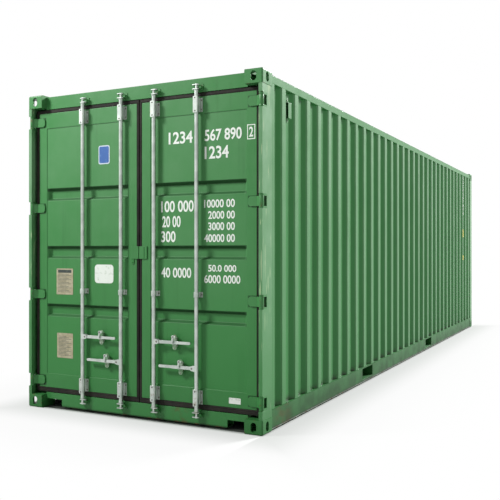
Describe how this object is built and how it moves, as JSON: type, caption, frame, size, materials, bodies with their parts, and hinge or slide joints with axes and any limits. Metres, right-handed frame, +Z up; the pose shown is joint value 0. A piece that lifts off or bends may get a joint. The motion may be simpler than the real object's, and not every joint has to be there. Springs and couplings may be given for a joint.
{
  "type": "shipping container",
  "caption": "Steel freight container with ribbed side walls, slotted corner castings, fork pockets and hinged end doors held by turning lock rods with lift handles.",
  "frame": {"origin": "on the ground under the middle of the box", "axes": "+Z up, doors at the -Y end, +X is the long side seen in the picture"},
  "size_m": [2.438, 9.125, 2.896],
  "materials": {
    "green_paint": "satin",
    "green_paint_on_cast": "satin",
    "galvanised": "satin",
    "door_rubber": "matte",
    "floor_plywood": "matte"
  },
  "bodies": {
    "container": {"corner_castings": "green_paint_on_cast", "door_posts": "green_paint", "hinge_lugs": "green_paint", "blind_posts": "green_paint", "door_header": "green_paint", "door_sill": "green_paint", "blind_top_rail": "green_paint", "blind_sill": "green_paint", "top_side_rails": "green_paint", "bottom_side_rails": "green_paint", "fork_pockets": "green_paint", "left_side_wall": "green_paint", "right_side_wall": "green_paint", "blind_end_wall": "green_paint", "roof": "green_paint", "floor_boards": "floor_plywood", "cross_members": "green_paint", "ventilators": "green_paint", "cam_keepers": "green_paint"},
    "left_door": {"left_door_frame": "green_paint", "left_door_panel": "green_paint", "left_door_seal": "door_rubber", "left_door_hinges": "green_paint", "left_door_rod_brackets": "galvanised", "left_door_handle_cradles": "galvanised", "left_door_centre_plate": "green_paint"},
    "right_door": {"right_door_frame": "green_paint", "right_door_panel": "green_paint", "right_door_seal": "door_rubber", "right_door_hinges": "green_paint", "right_door_rod_brackets": "galvanised", "right_door_handle_cradles": "galvanised", "right_door_centre_plate": "green_paint"},
    "rod_1": {"lock_rod_1": "galvanised"},
    "lever_1": {"handle_1": "galvanised"},
    "catch_1": {"handle_catch_1": "galvanised"},
    "rod_2": {"lock_rod_2": "galvanised"},
    "lever_2": {"handle_2": "galvanised"},
    "catch_2": {"handle_catch_2": "galvanised"},
    "rod_3": {"lock_rod_3": "galvanised"},
    "lever_3": {"handle_3": "galvanised"},
    "catch_3": {"handle_catch_3": "galvanised"},
    "rod_4": {"lock_rod_4": "galvanised"},
    "lever_4": {"handle_4": "galvanised"},
    "catch_4": {"handle_catch_4": "galvanised"}
  },
  "joints": [
    {"name": "left_door_swing", "type": "hinge", "parent": "container", "child": "left_door", "pos_m": [-1.196, -4.5345, 1.45], "axis": [0, 0, 1], "range_deg": [-264, 0]},
    {"name": "right_door_swing", "type": "hinge", "parent": "container", "child": "right_door", "pos_m": [1.196, -4.5345, 1.45], "axis": [0, 0, -1], "range_deg": [-264, 0]},
    {"name": "rod_1_turn", "type": "hinge", "parent": "left_door", "child": "rod_1", "pos_m": [-0.598, -4.5345, 1.45], "axis": [0, 0, -1], "range_deg": [0, 100]},
    {"name": "lever_1_lift", "type": "hinge", "parent": "rod_1", "child": "lever_1", "pos_m": [-0.56, -4.5385, 0.684], "axis": [0, -1, 0], "range_deg": [0, 7]},
    {"name": "catch_1_swivel", "type": "hinge", "parent": "left_door", "child": "catch_1", "pos_m": [-0.392, -4.554, 0.732], "axis": [0, -1, 0], "range_deg": [0, 100]},
    {"name": "rod_2_turn", "type": "hinge", "parent": "left_door", "child": "rod_2", "pos_m": [-0.173, -4.5345, 1.45], "axis": [0, 0, 1], "range_deg": [0, 100]},
    {"name": "lever_2_lift", "type": "hinge", "parent": "rod_2", "child": "lever_2", "pos_m": [-0.211, -4.5385, 0.48], "axis": [0, 1, 0], "range_deg": [0, 7]},
    {"name": "catch_2_swivel", "type": "hinge", "parent": "left_door", "child": "catch_2", "pos_m": [-0.332, -4.554, 0.528], "axis": [0, -1, 0], "range_deg": [0, 100]},
    {"name": "rod_3_turn", "type": "hinge", "parent": "right_door", "child": "rod_3", "pos_m": [0.173, -4.5345, 1.45], "axis": [0, 0, -1], "range_deg": [0, 100]},
    {"name": "lever_3_lift", "type": "hinge", "parent": "rod_3", "child": "lever_3", "pos_m": [0.211, -4.5385, 0.684], "axis": [0, -1, 0], "range_deg": [0, 7]},
    {"name": "catch_3_swivel", "type": "hinge", "parent": "right_door", "child": "catch_3", "pos_m": [0.379, -4.554, 0.732], "axis": [0, -1, 0], "range_deg": [0, 100]},
    {"name": "rod_4_turn", "type": "hinge", "parent": "right_door", "child": "rod_4", "pos_m": [0.598, -4.5345, 1.45], "axis": [0, 0, 1], "range_deg": [0, 100]},
    {"name": "lever_4_lift", "type": "hinge", "parent": "rod_4", "child": "lever_4", "pos_m": [0.56, -4.5385, 0.48], "axis": [0, 1, 0], "range_deg": [0, 7]},
    {"name": "catch_4_swivel", "type": "hinge", "parent": "right_door", "child": "catch_4", "pos_m": [0.439, -4.554, 0.528], "axis": [0, -1, 0], "range_deg": [0, 100]}
  ]
}
